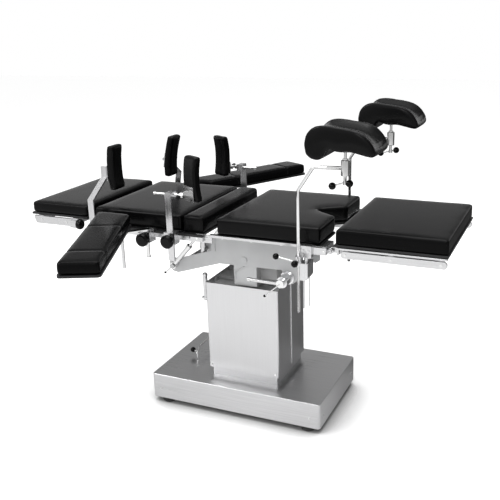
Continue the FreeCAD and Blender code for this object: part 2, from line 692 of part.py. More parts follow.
def shoulder_pad(side):
    x = SHOULDER_X[side]
    block = bowed_block(76, 30, 176, 8, x + 15.5 + 8, 8)
    block.translate(V(0, -157, 868))
    return mirrored(swing(block, side), side)


def placed_body(shape, side):
    if side == "near":
        shape.translate(V(BODY_X[side], 0, 0))
        return shape
    shape.rotate(V(0, 0, 0), V(0, 0, 1), 180)
    shape.translate(V(BODY_X[side], 0, 0))
    return shape


def body_clamp(side):
    jaw = rail_jaw(0, 44, 26, 714)
    slot = box(-12.5 - RUN, 12.5 + RUN, -292, -284, 700, 800)
    screw = rod((5, -288, 732), (5, -320, 732), 5 + RUN)
    return placed_body(jaw.cut(slot).cut(screw), side)


def body_knob(side):
    return placed_body(grip_knob((5, -313, 732), V(0, -1, 0), 313 - 292 - GAP), side)


def body_bar(side):
    flat = box(-12.5, 12.5, -292 + RUN, -284 - RUN, BAR_Z0, BAR_Z1)
    block = box(-13, 13, -292, -SWIVEL_Y + 11, BAR_Z1 - 1, SWIVEL_Z + 12)
    block = round_along_y(block, 3)
    bar = fuse([flat, block])
    return placed_body(bar.cut(rod((-60, -SWIVEL_Y, SWIVEL_Z), (60, -SWIVEL_Y, SWIVEL_Z), SWIVEL_R + RUN)), side)


def body_swivel(side):
    y, z = -SWIVEL_Y, SWIVEL_Z
    shaft = rod((-68, y, z), (46, y, z), SWIVEL_R)
    cap = rod((-74, y, z), (-64, y, z), 6.5)
    collar = rod((13 + GAP, y, z), (24, y, z), 9)
    boss = rod((38, y, z), (50, y, z), 11)
    arm = box(40, 48, y, y + 29.5, z - 9, z + 9)
    plate = rest_frame(box(-3, 0, -31, 31, -28, 28), 0)
    lever = ball_lever((44, y, z), (44, y - 30, z), 3, 8)
    return placed_body(fuse([shaft, cap, collar, boss, arm, plate] + lever), side)


def rest_frame(shape, drop):
    shape.translate(V(0, 0, drop))
    shape.rotate(V(0, 0, 0), V(0, 0, 1), 60)
    shape.translate(V(56, -SWIVEL_Y + 26, SWIVEL_Z))
    return shape


def body_pad(side):
    block = bowed_block(REST_W, REST_T, REST_H, REST_BOW, REST_BOW, 8)
    return placed_body(rest_frame(block, 862 - SWIVEL_Z), side)


# Leg holders

def holder_clamp(side):
    jaw = rail_jaw(332, 40, 12, 716)
    stud = rod((332, -278, 699), (332, -278, 717), 7)
    block = prism([(316, 639), (337, 639), (345, 651), (345, 700), (316, 700)], "y", -300, -242)
    eye = rod((HOLD_X, -HOLD_Y, 690), (HOLD_X, -HOLD_Y, 722), 12)
    link = box(HOLD_X + 5, 320, -298, -276, 690, 722)
    parts = [jaw, stud, block, eye, link]
    for x, y in ((327, -286), (337, -262)):
        parts.append(rod((x, y, 534), (x, y, 640), 3))
    for x in (323, 341):
        parts.append(rod((x, -284, 741), (x, -288, 741), 4.5))
    clamp = fuse(parts)
    clamp = clamp.cut(rod((HOLD_X, -HOLD_Y, 600), (HOLD_X, -HOLD_Y, 800), HOLD_R + RUN))
    clamp = clamp.cut(rod((HOLD_X, -HOLD_Y - HOLD_R, 706), (HOLD_X, -320, 706), 4 + RUN))
    return mirrored(clamp, side)


def holder_lever(side):
    x, z = HOLD_X, 706
    front = -HOLD_Y - 12 - GAP
    screw = rod((x, -HOLD_Y - HOLD_R - GAP, z), (x, front - 4, z), 4)
    hub = rod((x, front, z), (x, front - 12, z), 8)
    arm = ball_lever((x, front - 7, z), (x - 74, front - 10, z + 14), 2.5, 11)
    end = ball_lever((x, front - 10, z), (x, front - 26, z), 4, 12)
    return mirrored(fuse([screw, hub] + arm + end), side)


def holder_rod(side):
    y = -HOLD_Y
    pts = [(HOLD_X, y, HOLD_Z0), (HOLD_X, y, 951), (362, y, 1031), (STEM_X - 6, y, 1034)]
    bar = bent_rod(pts, 14, HOLD_R)
    sleeve = rod((STEM_X, y, SLEEVE_Z0), (STEM_X, y, SLEEVE_Z1), SLEEVE_R)
    sleeve = round_ends(sleeve, 2)
    body = fuse([bar, sleeve])
    return mirrored(body.cut(rod((STEM_X, y, 980), (STEM_X, y, 1090), STEM_R + RUN)), side)


def round_ends(cylinder, r):
    rims = [e for e in cylinder.Edges if e.Closed]
    return cylinder.makeFillet(r, rims)


def holder_stem(side):
    x, y = STEM_X, -HOLD_Y
    stem = rod((x, y, 984), (x, y, SADDLE_Z - 4), STEM_R)
    collar = rod((x, y, SLEEVE_Z1 + GAP), (x, y, SLEEVE_Z1 + 5), 9)
    flange = rod((x, y, SADDLE_Z - 8), (x, y, SADDLE_Z), 14)
    hub = rod((x, y, 980), (x, y, 992), 7)
    long_arm = ball_lever((x, y, 987), (x - 40, y - 9, 975), 2.6, 12)
    short_arm = ball_lever((x, y, 987), (x + 19, y - 14, 988), 2.6, 12)
    return mirrored(fuse([stem, collar, flange, hub] + long_arm + short_arm), side)


def holder_pad(side):
    y0, y1 = -378.0, -206.0
    top = [(362, 1078 + 12), (358, 1120), (366, 1155), (392, 1176), (430, 1180), (480, 1174),
           (534, 1164), (565, 1147), (586, 1122), (592, 1100)]
    under = [(578, 1086), (540, 1090), (505, SADDLE_Z), (450, SADDLE_Z), (434, 1092),
             (426, 1076), (404, 1068), (380, 1074)]
    outer = Part.BSplineCurve()
    outer.interpolate([V(x, y0, z) for x, z in top + [(590, 1090), (578, 1084)]])
    a = V(578, y0, 1084)
    b = V(508, y0, SADDLE_Z + GAP)
    c = V(442, y0, SADDLE_Z + GAP)
    inner = Part.BSplineCurve()
    inner.interpolate([c, V(430, y0, 1088), V(420, y0, 1074), V(402, y0, 1068), V(380, y0, 1073),
                       V(362, y0, 1090)])
    edges = [outer.toShape(), Part.LineSegment(a, b).toShape(), Part.LineSegment(b, c).toShape(),
             inner.toShape()]
    block = Part.Face(Part.Wire(edges)).extrude(V(0, y1 - y0, 0))
    rims = [e for e in block.Edges if e.BoundBox.YLength < 1]
    return mirrored(block.makeFillet(10, rims), side)


SINGLE = {
    "base_cover": base_cover,
    "base_frame": base_frame,
    "base_feet": base_feet,
    "release_lever": release_lever,
    "lift_head": lift_head,
    "column_skirt": column_skirt,
    "roll_saddle": roll_saddle,
    "side_frame": side_frame,
    "crank_handle": crank_handle,
    "seat_frame": seat_frame,
    "seat_pad": seat_pad,
    "back_frame": back_frame,
    "back_pad": lambda: pad(BACK_X0, BACK_X1, MID_PAD_Z),
    "kidney_bridge": kidney_bridge,
    "kidney_pad": lambda: pad(KID_X0, KID_X1, MID_PAD_Z),
    "head_frame": head_frame,
    "head_pad": lambda: pad(HEAD_X0, HEAD_X1, HEAD_PAD_Z),
    "head_knob": head_knob,
    "leg_frame": leg_frame,
    "leg_pad": lambda: pad(LEG_X0, LEG_X1, LEG_PAD_Z),
}

PAIRED = {
    "strut_barrel": strut_barrel,
    "strut_rod": strut_rod,
    "arm_clamp": arm_clamp,
    "arm_knob": arm_knob,
    "arm_link": arm_link,
    "arm_board": arm_board,
    "arm_pad": arm_pad,
    "shoulder_clamp": shoulder_clamp,
    "shoulder_bracket": shoulder_bracket,
    "shoulder_pad": shoulder_pad,
    "body_clamp": body_clamp,
    "body_knob": body_knob,
    "body_bar": body_bar,
    "body_swivel": body_swivel,
    "body_pad": body_pad,
    "holder_clamp": holder_clamp,
    "holder_lever": holder_lever,
    "holder_rod": holder_rod,
    "holder_stem": holder_stem,
    "holder_pad": holder_pad,
}

for name, build in SINGLE.items():
    build().exportStep("parts/" + name + ".step")

for name, build in PAIRED.items():
    for side in ("near", "far"):
        build(side).exportStep("parts/" + name + "_" + side + ".step")
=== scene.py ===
import math

import bmesh
import bpy
import numpy
from mathutils import Matrix, Vector


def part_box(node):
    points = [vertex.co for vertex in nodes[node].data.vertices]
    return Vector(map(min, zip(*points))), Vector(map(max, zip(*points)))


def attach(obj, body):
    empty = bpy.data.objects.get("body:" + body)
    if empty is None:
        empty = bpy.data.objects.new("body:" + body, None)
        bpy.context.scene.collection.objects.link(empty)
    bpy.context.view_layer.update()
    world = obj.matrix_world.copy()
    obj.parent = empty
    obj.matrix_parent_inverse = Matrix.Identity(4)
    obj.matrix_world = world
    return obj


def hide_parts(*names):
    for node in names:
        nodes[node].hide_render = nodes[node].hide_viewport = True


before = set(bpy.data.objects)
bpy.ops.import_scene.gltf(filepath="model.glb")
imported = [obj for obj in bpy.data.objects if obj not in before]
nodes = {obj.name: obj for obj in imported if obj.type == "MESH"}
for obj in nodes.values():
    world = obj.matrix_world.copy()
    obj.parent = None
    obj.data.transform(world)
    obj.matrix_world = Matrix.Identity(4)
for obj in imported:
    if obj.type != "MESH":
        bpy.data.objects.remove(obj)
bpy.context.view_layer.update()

MM = 0.001

# Camera, worked out from the photograph's vanishing lines; millimetres and degrees
CAMERA_AT = (1163.2, -2514.6, 1515.0)
CAMERA_YAW = 24.942
CAMERA_PITCH = 17.86
CAMERA_ROLL = -1.73
FOCAL_PX = 740.0
FRAME_PX = 500.0

# Upholstery, in metres
PAD_VOXEL = 0.0055
PAD_SHRINK = 0.0016
PAD_PRESSURE = 4.0
PAD_SWELL = 0.0018
SIM_FRAMES = 20
EVEN_ROUNDS = 14
ARM_RISE = 0.007
SADDLE_DIP = 0.016
SADDLE_LIFT = 0.003
HOOK_X = 0.436
HOOK_WIDTH = 0.020
HOOK_RISE = 0.008

SIDES = ("near", "far")

# Studio: brightness in front of and behind the table, and the lamps (place, aim, size, watts)
WORLD_NEAR = 0.95
WORLD_FAR = ((0.0, 0.90), (0.215, 0.90), (0.262, 0.03), (0.34, 0.03), (0.50, 0.42))
WORLD_RIGHT = 0.45
# Floor tone behind the table in reflections and bounced light: painted shade of the dim far studio
FLOOR_BACK_SHADE = 0.12
# Floor glow to the camera: none right under the object, painting its contact shadow, up to the
# second value on the open floor
FLOOR_GLOW = (0.0, 0.46)
LAMPS = (
    ("softbox_left", (-2.4, -2.6, 3.4), (0, 0, 0.6), 1.5, 50.0),
    ("softbox_front", (0.7, -3.3, 2.5), (0, 0, 0.8), 0.6, 12.0),
    ("softbox_top", (0.2, 0.2, 4.4), (0, 0, 0.0), 4.0, 160.0),
)


def place_camera():
    yaw, pitch, roll = (math.radians(a) for a in (CAMERA_YAW, CAMERA_PITCH, CAMERA_ROLL))
    flat = math.cos(pitch)
    ahead = Vector((-math.sin(yaw) * flat, math.cos(yaw) * flat, -math.sin(pitch)))
    level = Vector((math.cos(yaw), math.sin(yaw), 0))
    upright = level.cross(ahead)
    right = math.cos(roll) * level + math.sin(roll) * upright
    up = math.cos(roll) * upright - math.sin(roll) * level
    data = bpy.data.cameras.new("table_camera")
    data.sensor_width = 36.0
    data.lens = 36.0 * FOCAL_PX / FRAME_PX
    data.clip_start = 0.05
    data.clip_end = 60.0
    camera = add_piece("table_camera", data)
    turn = Matrix((right, up, -ahead)).transposed().to_4x4()
    camera.matrix_world = Matrix.Translation(Vector(CAMERA_AT) * MM) @ turn
    bpy.context.scene.camera = camera
    bpy.context.scene.view_settings.view_transform = "Standard"


# Materials

class Finish:
    """A node material under construction: short calls that add and join its nodes."""

    def __init__(self, name):
        self.material = bpy.data.materials.new(name)
        self.material.use_nodes = True
        self.tree = self.material.node_tree
        self.shader = self.tree.nodes["Principled BSDF"]
        coords = self.tree.nodes.new("ShaderNodeTexCoord")
        self.place = coords.outputs["Object"]

    def node(self, kind, **values):
        made = self.tree.nodes.new(kind)
        for key, value in values.items():
            if key in made.inputs:
                made.inputs[key].default_value = value
            else:
                setattr(made, key, value)
        return made

    def join(self, source, target):
        self.tree.links.new(source, target)

    def set(self, **values):
        for key, value in values.items():
            self.shader.inputs[key.replace("_", " ")].default_value = value

    def stretched(self, scale):
        mapping = self.node("ShaderNodeMapping", Scale=scale)
        self.join(self.place, mapping.inputs["Vector"])
        return mapping.outputs["Vector"]

    def noise(self, vector, scale, detail=3.0, rough=0.5):
        made = self.node("ShaderNodeTexNoise", Scale=scale, Detail=detail, Roughness=rough)
        self.join(vector, made.inputs["Vector"])
        return made.outputs["Fac"]

    def ramp(self, factor, stops):
        made = self.node("ShaderNodeValToRGB")
        band = made.color_ramp
        while len(band.elements) < len(stops):
            band.elements.new(0.5)
        for element, (at, value) in zip(band.elements, stops):
            element.position = at
            colour = value if isinstance(value, tuple) else (value, value, value)
            element.color = (*colour, 1.0)
        self.join(factor, made.inputs["Fac"])
        return made.outputs["Color"]

    def bump(self, height, distance, strength=1.0):
        made = self.node("ShaderNodeBump", Strength=strength, Distance=distance)
        self.join(height, made.inputs["Height"])
        self.join(made.outputs["Normal"], self.shader.inputs["Normal"])
        return made

    def sum(self, operation, first, second):
        made = self.node("ShaderNodeMath", operation=operation)
        for socket, value in zip(made.inputs, (first, second)):
            if isinstance(value, (int, float)):
                socket.default_value = value
            else:
                self.join(value, socket)
        return made.outputs[0]

    def axis(self, letter):
        split = self.node("ShaderNodeSeparateXYZ")
        self.join(self.place, split.inputs[0])
        return split.outputs[letter]

    def spread(self, factor, low, high):
        made = self.node("ShaderNodeMapRange")
        self.join(factor, made.inputs["Value"])
        made.inputs["To Min"].default_value = low
        made.inputs["To Max"].default_value = high
        return made.outputs["Result"]

    def inside_ball(self, centre, radius):
        """1 within a ball in the piece's own coordinates, else 0."""
        away = self.node("ShaderNodeVectorMath", operation="DISTANCE")
        self.join(self.place, away.inputs[0])
        away.inputs[1].default_value = centre
        return self.sum("LESS_THAN", away.outputs["Value"], radius)

    def overlay(self, where, colour, rough, metallic):
        """Lays a second finish over the first where the mask is 1."""
        second_finish = {"Base Color": (*colour, 1.0), "Roughness": rough, "Metallic": metallic}
        for socket, value in second_finish.items():
            target = self.shader.inputs[socket]
            is_colour = socket == "Base Color"
            mix = self.node("ShaderNodeMix", data_type="RGBA" if is_colour else "FLOAT")
            first, second, out = (6, 7, 2) if is_colour else (2, 3, 0)
            if target.is_linked:
                self.join(target.links[0].from_socket, mix.inputs[first])
            else:
                mix.inputs[first].default_value = target.default_value
            if isinstance(value, (tuple, float, int)):
                mix.inputs[second].default_value = value
            else:
                self.join(value, mix.inputs[second])
            self.join(where, mix.inputs[0])
            self.join(mix.outputs[out], target)


# Crank hub on the near side plate, and where the saddle's trunnions end; millimetres
HUB_AT = (205, 578)
HUB_RADIUS = 27
HUB_FACE_Y = -129.7
TRUNNION_END_Y = 118


def brushed_panel(name, tone, along, rough=(0.26, 0.40)):
    return steel_finish(name, tone, along, rough).material


def steel_finish(name, tone, along, rough):
    """Stainless sheet with its grain stretched along one axis."""
    f = Finish(name)
    scale = {"x": (6, 420, 420), "z": (420, 420, 5), "y": (420, 6, 420)}[along]
    grain = f.noise(f.stretched(scale), 1.0, 4.0, 0.6)
    broad = f.noise(f.place, 3.2, 2.0)
    lo, hi = tone
    f.join(f.ramp(grain, [(0.25, (lo, lo, lo * 1.01)), (0.75, (hi, hi, hi * 1.012))]),
           f.shader.inputs["Base Color"])
    wear = f.sum("MULTIPLY", grain, broad)
    f.join(f.ramp(wear, [(0.1, rough[0]), (0.5, rough[1])]), f.shader.inputs["Roughness"])
    f.set(Metallic=1.0)
    f.bump(grain, 0.00003, 0.4)
    return f


def boarded_section(name, board_z, tone=(0.60, 0.74)):
    """Ground section steel with a black laminated board from a height upwards."""
    f = steel_finish(name, tone, "x", (0.22, 0.34))
    worn = f.spread(f.noise(f.place, 40.0, 3.0), 0.32, 0.50)
    board = f.sum("GREATER_THAN", f.axis("Z"), board_z)
    f.overlay(board, (0.006, 0.006, 0.0065), worn, 0.0)
    return f.material


def ball_tipped(name, balls, tone=0.80):
    """Polished lever with glossy black balls, each given by its centre and radius."""
    f = plated_finish(name, tone, 0.07)
    where = None
    for centre, radius in balls:
        here = f.inside_ball(tuple(v * MM for v in centre), radius * MM)
        where = here if where is None else f.sum("MAXIMUM", where, here)
    gloss = f.spread(f.noise(f.place, 60.0, 2.0), 0.08, 0.14)
    f.overlay(where, (0.002, 0.002, 0.002), gloss, 0.0)
    f.set(IOR=1.25)
    return f.material


def hub_enamel(name, colour):
    """Plate enamel with the crank's bearing hub left in bright steel."""
    f = enamel_finish(name, colour, 0.34)
    across = f.sum("SUBTRACT", f.axis("X"), HUB_AT[0] * MM)
    up = f.sum("SUBTRACT", f.axis("Z"), HUB_AT[1] * MM)
    squares = f.sum("ADD", f.sum("MULTIPLY", across, across), f.sum("MULTIPLY", up, up))
    near = f.sum("LESS_THAN", f.sum("SQRT", squares, 0.0), HUB_RADIUS * MM)
    proud = f.sum("LESS_THAN", f.axis("Y"), HUB_FACE_Y * MM)
    polish = f.spread(f.noise(f.stretched((160, 160, 160)), 1.0, 5.0, 0.7), 0.10, 0.22)
    f.overlay(f.sum("MULTIPLY", near, proud), (0.74, 0.74, 0.75), polish, 1.0)
    return f.material


def enamel(name, colour, rough=0.34):
    return enamel_finish(name, colour, rough).material


def enamel_finish(name, colour, rough):
    """Sprayed enamel with a faint orange peel and dust in its gloss."""
    f = Finish(name)
    peel = f.noise(f.place, 900.0, 2.0)
    broad = f.noise(f.place, 14.0, 3.0)
    low = tuple(c * 0.94 for c in colour)
    f.join(f.ramp(broad, [(0.3, low), (0.7, colour)]), f.shader.inputs["Base Color"])
    f.join(f.ramp(broad, [(0.3, rough), (0.7, rough + 0.08)]), f.shader.inputs["Roughness"])
    f.set(Metallic=0.0, Coat_Weight=0.25, Coat_Roughness=0.12)
    f.bump(peel, 0.00006, 0.4)
    return f


def plated(name, tone=0.80, rough=0.07):
    return plated_finish(name, tone, rough).material


def plated_finish(name, tone, rough):
    """Polished plate: almost clear reflections, broken by fine polishing marks."""
    f = Finish(name)
    marks = f.noise(f.stretched((160, 160, 160)), 1.0, 5.0, 0.7)
    f.join(f.ramp(marks, [(0.3, tone * 0.93), (0.7, tone)]), f.shader.inputs["Base Color"])
    f.join(f.ramp(marks, [(0.3, rough), (0.75, rough + 0.09)]), f.shader.inputs["Roughness"])
    f.set(Metallic=1.0)
    f.bump(marks, 0.00002, 0.3)
    return f


def leathercloth(name, tone=0.0018, rough=0.24, gloss=1.22):
    """Black coated cloth: fine pebbled grain, small creases, worn sheen."""
    f = Finish(name)
    pebble = f.node("ShaderNodeTexVoronoi", feature="SMOOTH_F1", Scale=620.0, Smoothness=0.6)
    f.join(f.place, pebble.inputs["Vector"])
    crease = f.noise(f.place, 55.0, 5.0, 0.62)
    handled = f.noise(f.place, 7.0, 3.0)
    clean, worn = (tone, tone, tone * 1.08), (tone * 1.5, tone * 1.5, tone * 1.6)
    f.join(f.ramp(handled, [(0.3, clean), (0.75, worn)]), f.shader.inputs["Base Color"])
    f.join(f.ramp(handled, [(0.3, rough), (0.75, rough + 0.03)]), f.shader.inputs["Roughness"])
    blend = f.node("ShaderNodeMix", data_type="FLOAT", Factor=0.06)
    f.join(pebble.outputs["Distance"], blend.inputs[2])
    f.join(crease, blend.inputs[3])
    f.set(Metallic=0.0, IOR=gloss)
    f.bump(blend.outputs[0], 0.00008, 0.30)
    return f.material


def moulded(name, tone=0.002, rough=0.12):
    """Glossy black moulding with a soft flow pattern in the gloss."""
    f = Finish(name)
    flow = f.noise(f.place, 60.0, 2.0)
    f.join(f.ramp(flow, [(0.3, tone), (0.7, tone * 1.5)]), f.shader.inputs["Base Color"])
    f.join(f.ramp(flow, [(0.3, rough), (0.7, rough + 0.08)]), f.shader.inputs["Roughness"])
    f.set(Metallic=0.0, IOR=1.25)
    f.bump(f.noise(f.place, 700.0, 2.0), 0.00003, 0.4)
    return f.material


def black_rubber(name):
    f = Finish(name)
    grit = f.noise(f.place, 520.0, 4.0, 0.65)
    dust = f.noise(f.place, 24.0, 3.0)
    f.join(f.ramp(dust, [(0.35, 0.012), (0.8, 0.035)]), f.shader.inputs["Base Color"])
    f.join(f.ramp(grit, [(0.3, 0.55), (0.7, 0.8)]), f.shader.inputs["Roughness"])
    f.bump(grit, 0.0002, 0.5)
    return f.material


def trunnion_casting(name, colour):
    """Saddle casting, its trunnion ends sprayed like the side plates."""
    f = cast_finish(name, 0.40)
    outer = f.sum("GREATER_THAN", f.sum("ABSOLUTE", f.axis("Y"), 0.0), TRUNNION_END_Y * MM)
    f.overlay(outer, colour, f.spread(f.noise(f.place, 14.0, 3.0), 0.34, 0.42), 0.0)
    return f.material


def cast_paint(name, tone):
    return cast_finish(name, tone).material


def cast_finish(name, tone):
    f = Finish(name)
    grain = f.noise(f.place, 380.0, 4.0, 0.6)
    f.join(f.ramp(grain, [(0.3, tone * 0.85), (0.7, tone)]), f.shader.inputs["Base Color"])
    f.join(f.ramp(grain, [(0.3, 0.45), (0.7, 0.62)]), f.shader.inputs["Roughness"])
    f.bump(grain, 0.0001, 0.5)
    return f


FINISHES = {
    "cover": brushed_panel("brushed_base_cover", (0.60, 0.72), "x"),
    "skirt": brushed_panel("brushed_column_skirt", (0.635, 0.675), "z", (0.30, 0.38)),
    "section": brushed_panel("ground_section_steel", (0.60, 0.74), "x", (0.22, 0.34)),
    "upright": brushed_panel("ground_upright_steel", (0.60, 0.74), "z", (0.22, 0.34)),
    "plate": hub_enamel("grey_plate_enamel", (0.55, 0.555, 0.56)),
    "casting": cast_paint("grey_head_casting", 0.40),
    "chrome": plated("polished_chrome"),
    "inner": cast_paint("dark_frame_paint", 0.10),
    "cloth": leathercloth("black_leathercloth"),
    "dull_cloth": leathercloth("dull_black_leathercloth", gloss=1.16),
    "saddle": trunnion_casting("grey_saddle_casting", (0.55, 0.555, 0.56)),
    "knob": moulded("black_knob_moulding"),
    "rubber": black_rubber("foot_rubber"),
    "arm_frame": boarded_section("section_and_arm_board", 763.5 * MM),
    "lid": enamel("satin_column_lid", (0.78, 0.78, 0.785), 0.4),
    "board": moulded("black_laminated_board", 0.006, 0.34),
    "mid_frame": boarded_section("section_and_middle_board", 743.5 * MM),
    "head_frame": boarded_section("section_and_head_board", 761.5 * MM),
    "leg_frame": boarded_section("section_and_leg_board", 753.5 * MM),
}

NODE_FINISH = {
    "base_cover": "cover", "base_frame": "inner", "base_feet": "rubber", "release_lever": "chrome",
    "lift_head": "casting", "column_skirt": "skirt", "roll_saddle": "saddle", "side_frame": "plate",
    "crank_handle": "chrome", "seat_frame": "section", "back_frame": "mid_frame",
    "kidney_bridge": "mid_frame", "head_frame": "head_frame", "head_knob": "knob",
    "leg_frame": "leg_frame",
}
PAIR_FINISH = {
    "strut_barrel": "upright", "strut_rod": "chrome", "arm_clamp": "upright", "arm_knob": "knob",
    "arm_link": "chrome", "arm_board": "arm_frame", "shoulder_clamp": "upright",
    "shoulder_bracket": "upright", "body_clamp": "upright", "body_knob": "knob",
    "body_bar": "upright", "body_swivel": "chrome", "holder_clamp": "upright",
    "holder_lever": "knob", "holder_rod": "chrome", "holder_stem": "chrome",
}


# Black balls on the levers: centre and radius in millimetres, on the near side for a pair
BALLS = {
    "release_lever": (((-277, -21, 154), 11.3),),
    "crank_handle": (((145, -211.5, 526), 5.3),),
}
PAIR_BALLS = {
    "holder_lever": (((235, -312.5, 720), 11.3), ((309, -328.5, 706), 12.3)),
    "holder_stem": (((430, -299, 975), 12.3), ((489, -304, 988), 12.3)),
    "strut_barrel": (((-309, -149, 542), 5.3),),
}
SWIVEL_BALLS = {"near": (((-146, -292, 893), 8.3),), "far": (((-204, 292, 893), 8.3),)}


def dress_levers():
    for name, balls in BALLS.items():
        repaint(nodes[name], ball_tipped("bright_" + name, balls))
    for side, sign in (("near", 1), ("far", -1)):
        for name, balls in PAIR_BALLS.items():
            placed = [((x, y * sign, z), r) for (x, y, z), r in balls]
            repaint(nodes[f"{name}_{side}"], ball_tipped(f"bright_{name}_{side}", placed))
        swivel = ball_tipped(f"bright_swivel_{side}", SWIVEL_BALLS[side])
        repaint(nodes[f"body_swivel_{side}"], swivel)


def dress_nodes():
    for name, finish in NODE_FINISH.items():
        repaint(nodes[name], FINISHES[finish])
    for name, finish in PAIR_FINISH.items():
        for side in SIDES:
            repaint(nodes[f"{name}_{side}"], FINISHES[finish])
    dress_levers()


def repaint(piece, material):
    piece.data.materials.clear()
    piece.data.materials.append(material)


def add_piece(name, data):
    piece = bpy.data.objects.new(name, data)
    bpy.context.scene.collection.objects.link(piece)
    return piece


# Upholstery

def copy_of(node, name):
    mesh = nodes[node].data.copy()
    mesh.name = name
    body = bmesh.new()
    body.from_mesh(mesh)
    bmesh.ops.remove_doubles(body, verts=body.verts, dist=1e-5)
    bmesh.ops.recalc_face_normals(body, faces=body.faces)
    body.to_mesh(mesh)
    body.free()
    piece = add_piece(name, mesh)
    repaint(piece, FINISHES["cloth"])
    return piece


def settle(piece):
    """Bakes the modifiers into a plain mesh."""
    graph = bpy.context.evaluated_depsgraph_get()
    mesh = bpy.data.meshes.new_from_object(piece.evaluated_get(graph))
    piece.modifiers.clear()
    piece.data = mesh


def inflate(piece, cap):
    """Swells the cover like stretched cloth over foam, no point further than cap."""
    rest = [v.co.copy() for v in piece.data.vertices]
    floor = min(v.z for v in rest)
    scene = bpy.context.scene
    cloth = piece.modifiers.new("cover", "CLOTH")
    cloth.settings.quality = 5
    cloth.settings.use_pressure = True
    cloth.settings.uniform_pressure_force = PAD_PRESSURE
    cloth.settings.tension_stiffness = 25
    cloth.settings.compression_stiffness = 25
    cloth.settings.bending_stiffness = 1.5
    cloth.settings.effector_weights.gravity = 0.0
    cloth.collision_settings.use_collision = False
    cloth.point_cache.frame_start = 1
    cloth.point_cache.frame_end = SIM_FRAMES
    for step in range(1, SIM_FRAMES + 1):
        scene.frame_set(step)
    settle(piece)
    scene.frame_set(1)
    swell = evened(piece.data, [v.co - start for v, start in zip(piece.data.vertices, rest)])
    for vertex, start, moved in zip(piece.data.vertices, rest, swell):
        moved = Vector(moved)
        if moved.length > cap:
            moved = moved.normalized() * cap
        vertex.co = start + moved
        vertex.co.z = max(vertex.co.z, floor)


def evened(mesh, moves):
    """Averages each point's move with its neighbours', so that no ripple shows in the gloss."""
    moves = numpy.array(moves, dtype=float)
    pairs = numpy.array([tuple(e.vertices) for e in mesh.edges])
    count = numpy.bincount(pairs.ravel(), minlength=len(moves))[:, None] + 1.0
    for _ in range(EVEN_ROUNDS):
        total = moves.copy()
        numpy.add.at(total, pairs[:, 0], moves[pairs[:, 1]])
        numpy.add.at(total, pairs[:, 1], moves[pairs[:, 0]])
        moves = total / count
    return moves


def plump(piece, low, high, rise):
    """Lets a thick pad stand a little proud of its board, more towards its top."""
    for vertex in piece.data.vertices:
        vertex.co.z += rise * max(0.0, (vertex.co.z - low) / (high - low))


def hollow_saddle(piece, y_mid, half, dip, lift):
    """Sinks the middle of a knee rest's top between two raised rims."""
    for vertex in piece.data.vertices:
        if vertex.normal.z > 0.1:
            across = min(1.0, abs(vertex.co.y - y_mid) / half)
            fall = dip * (1 - across ** 2) - lift * across ** 2
            vertex.co.z -= fall * min(1.0, vertex.normal.z * 1.6)
        elif vertex.normal.z < -0.2:
            from_hook = (vertex.co.x - HOOK_X) / HOOK_WIDTH
            vertex.co.z += HOOK_RISE * math.exp(-from_hook * from_hook)


def groove(piece, through, across, width, depth, side_only=False):
    """Presses a sewn line into the cover, where it crosses the plane."""
    across = Vector(across).normalized()
    through = Vector(through)
    normals = [v.normal.copy() for v in piece.data.vertices]
    for vertex, normal in zip(piece.data.vertices, normals):
        away = (vertex.co - through).dot(across)
        if abs(away) < 3 * width and not (side_only and abs(normal.y) < 0.7):
            vertex.co -= normal * depth * math.exp(-(away / width) ** 2)


# Seat section, in millimetres
SEAT_X = (-25, 370)
SEAT_HALF = 250
NOTCH_TIP_X = 283
NOTCH_HALF = 70
SEAT_BLOCK_Z = (752, 814)
SEAT_BOARD_Z = (744, 752)
BOARD_INSET = 3


def seat_outline():
    """The seat's outline with its rounded V at the leg end, in millimetres."""
    head_x, leg_x = SEAT_X
    points = [(leg_x, SEAT_HALF), (head_x, SEAT_HALF), (head_x, -SEAT_HALF), (leg_x, -SEAT_HALF)]
    for step in range(-12, 13):
        t = step / 12
        run = (math.sqrt(t * t + 0.06) - math.sqrt(0.06)) / (math.sqrt(1.06) - math.sqrt(0.06))
        points.append((NOTCH_TIP_X + (leg_x - NOTCH_TIP_X) * run, NOTCH_HALF * t))
    return points


def raise_outline(points, low, high):
    """A closed block: an outline in millimetres between two heights."""
    body = bmesh.new()
    face = body.faces.new([body.verts.new((x * MM, y * MM, low * MM)) for x, y in points])
    for part in bmesh.ops.extrude_face_region(body, geom=[face])["geom"]:
        if isinstance(part, bmesh.types.BMVert):
            part.co.z = high * MM
    return body


def seat_block():
    """The seat cushion's block, with the narrow notch that the photograph shows."""
    body = raise_outline(seat_outline(), *SEAT_BLOCK_Z)
    bmesh.ops.recalc_face_normals(body, faces=body.faces)
    mesh = bpy.data.meshes.new("seat_pad_cover")
    body.to_mesh(mesh)
    body.free()
    piece = add_piece("seat_pad_cover", mesh)
    repaint(piece, FINISHES["cloth"])
    rounding = piece.modifiers.new("rounding", "BEVEL")
    rounding.width = 0.008
    rounding.segments = 3
    rounding.limit_method = "ANGLE"
    rounding.angle_limit = math.radians(50)
    settle(piece)
    return piece


def cushion(node, cap=PAD_SWELL, voxel=PAD_VOXEL):
    piece = seat_block() if node == "seat_pad" else copy_of(node, node + "_cover")
    shrink = piece.modifiers.new("shrink", "DISPLACE")
    shrink.strength = -PAD_SHRINK
    shrink.mid_level = 0.0
    remesh = piece.modifiers.new("cells", "REMESH")
    remesh.mode = "VOXEL"
    remesh.voxel_size = voxel
    settle(piece)
    if node.startswith("holder_pad"):
        low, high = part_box(node)
        hollow_saddle(piece, (low.y + high.y) / 2, (high.y - low.y) / 2, SADDLE_DIP, SADDLE_LIFT)
    inflate(piece, cap)
    return piece


